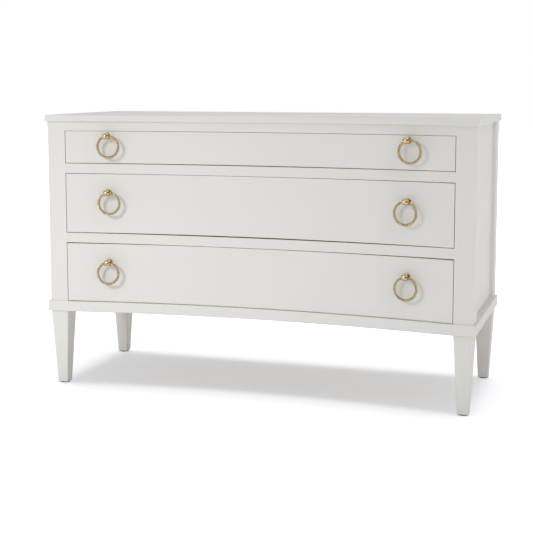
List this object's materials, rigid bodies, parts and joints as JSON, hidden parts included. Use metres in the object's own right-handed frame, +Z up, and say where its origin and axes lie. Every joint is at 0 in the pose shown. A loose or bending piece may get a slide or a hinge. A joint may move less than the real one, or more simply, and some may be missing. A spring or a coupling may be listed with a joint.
{
  "type": "chest of drawers",
  "caption": "Painted chest of drawers with a concave front, inset drawers on telescopic slides, hanging brass ring pulls and tapered square legs.",
  "frame": {"origin": "on the floor, under the middle of the case's width and depth", "axes": "+X to the right seen from the front, +Y from the hollow front to the back, +Z up"},
  "size_m": [1.3632, 0.5388, 0.864],
  "materials": {
    "paint": "satin off-white paint on wood",
    "drawer_wood": "clear matt lacquer",
    "plywood": "sanded birch plywood",
    "brass": "aged, hand-rubbed",
    "steel": "zinc plated",
    "glide": "moulded nylon"
  },
  "bodies": {
    "case": {"left_side_panel": "paint", "right_side_panel": "paint", "back_panel_screws": "steel", "back_panel": "plywood", "bottom_panel": "plywood", "top_screws": "steel", "leg_bolts": "steel", "leg_glides": "glide", "top_panel": "paint", "top_front_rail": "paint", "top_back_rail": "drawer_wood", "upper_divider_rail": "paint", "lower_divider_rail": "paint", "base_front_rail": "paint", "base_left_rail": "paint", "base_right_rail": "paint", "base_back_rail": "paint", "case_slide_screws": "steel", "case_slide_rails": "steel", "front_left_post": "paint", "front_left_leg": "paint", "front_right_post": "paint", "front_right_leg": "paint", "back_left_post": "paint", "back_left_leg": "paint", "back_right_post": "paint", "back_right_leg": "paint"},
    "top_drawer": {"top_drawer_floor": "plywood", "top_drawer_screws": "steel", "top_drawer_front": "paint", "top_drawer_left_side": "drawer_wood", "top_drawer_right_side": "drawer_wood", "top_drawer_back": "drawer_wood", "top_drawer_slide_rails": "steel", "top_drawer_pull_posts": "brass"},
    "top_slides": {"top_slide_middle_rails": "steel"},
    "middle_drawer": {"middle_drawer_floor": "plywood", "middle_drawer_screws": "steel", "middle_drawer_front": "paint", "middle_drawer_left_side": "drawer_wood", "middle_drawer_right_side": "drawer_wood", "middle_drawer_back": "drawer_wood", "middle_drawer_slide_rails": "steel", "middle_drawer_pull_posts": "brass"},
    "middle_slides": {"middle_slide_middle_rails": "steel"},
    "bottom_drawer": {"bottom_drawer_floor": "plywood", "bottom_drawer_screws": "steel", "bottom_drawer_front": "paint", "bottom_drawer_left_side": "drawer_wood", "bottom_drawer_right_side": "drawer_wood", "bottom_drawer_back": "drawer_wood", "bottom_drawer_slide_rails": "steel", "bottom_drawer_pull_posts": "brass"},
    "bottom_slides": {"bottom_slide_middle_rails": "steel"},
    "top_left_ring": {"top_left_ring": "brass"},
    "top_right_ring": {"top_right_ring": "brass"},
    "middle_left_ring": {"middle_left_ring": "brass"},
    "middle_right_ring": {"middle_right_ring": "brass"},
    "bottom_left_ring": {"bottom_left_ring": "brass"},
    "bottom_right_ring": {"bottom_right_ring": "brass"}
  },
  "joints": [
    {"name": "top_drawer_slide", "type": "slide", "parent": "case", "child": "top_drawer", "axis": [0, -1, 0], "range_m": [0, 0.4]},
    {"name": "top_slide_extension", "type": "slide", "parent": "case", "child": "top_slides", "axis": [0, -1, 0], "range_m": [0, 0.2]},
    {"name": "top_left_ring_swing", "type": "hinge", "parent": "top_drawer", "child": "top_left_ring", "pos_m": [-0.4729, -0.26104, 0.79875], "axis": [-0.9743, -0.1326, -0.1822], "range_deg": [-15, 180]},
    {"name": "top_right_ring_swing", "type": "hinge", "parent": "top_drawer", "child": "top_right_ring", "pos_m": [0.4729, -0.26104, 0.79875], "axis": [-0.9476, 0.129, -0.2924], "range_deg": [-15, 180]},
    {"name": "middle_drawer_slide", "type": "slide", "parent": "case", "child": "middle_drawer", "axis": [0, -1, 0], "range_m": [0, 0.4]},
    {"name": "middle_slide_extension", "type": "slide", "parent": "case", "child": "middle_slides", "axis": [0, -1, 0], "range_m": [0, 0.2]},
    {"name": "middle_left_ring_swing", "type": "hinge", "parent": "middle_drawer", "child": "middle_left_ring", "pos_m": [-0.4729, -0.26104, 0.6216], "axis": [-0.9674, -0.1317, -0.2164], "range_deg": [-15, 180]},
    {"name": "middle_right_ring_swing", "type": "hinge", "parent": "middle_drawer", "child": "middle_right_ring", "pos_m": [0.4729, -0.26104, 0.6216], "axis": [-0.9895, 0.1347, 0.0523], "range_deg": [-15, 180]},
    {"name": "bottom_drawer_slide", "type": "slide", "parent": "case", "child": "bottom_drawer", "axis": [0, -1, 0], "range_m": [0, 0.4]},
    {"name": "bottom_slide_extension", "type": "slide", "parent": "case", "child": "bottom_slides", "axis": [0, -1, 0], "range_m": [0, 0.2]},
    {"name": "bottom_left_ring_swing", "type": "hinge", "parent": "bottom_drawer", "child": "bottom_left_ring", "pos_m": [-0.4729, -0.26104, 0.4009], "axis": [-0.9905, -0.1348, -0.0262], "range_deg": [-15, 180]},
    {"name": "bottom_right_ring_swing", "type": "hinge", "parent": "bottom_drawer", "child": "bottom_right_ring", "pos_m": [0.4729, -0.26104, 0.4009], "axis": [-0.9897, 0.1347, -0.0489], "range_deg": [-15, 180]}
  ],
  "couplings": [
    {"joint": "top_slide_extension", "follows": "top_drawer_slide", "ratio": 0.5},
    {"joint": "middle_slide_extension", "follows": "middle_drawer_slide", "ratio": 0.5},
    {"joint": "bottom_slide_extension", "follows": "bottom_drawer_slide", "ratio": 0.5}
  ]
}
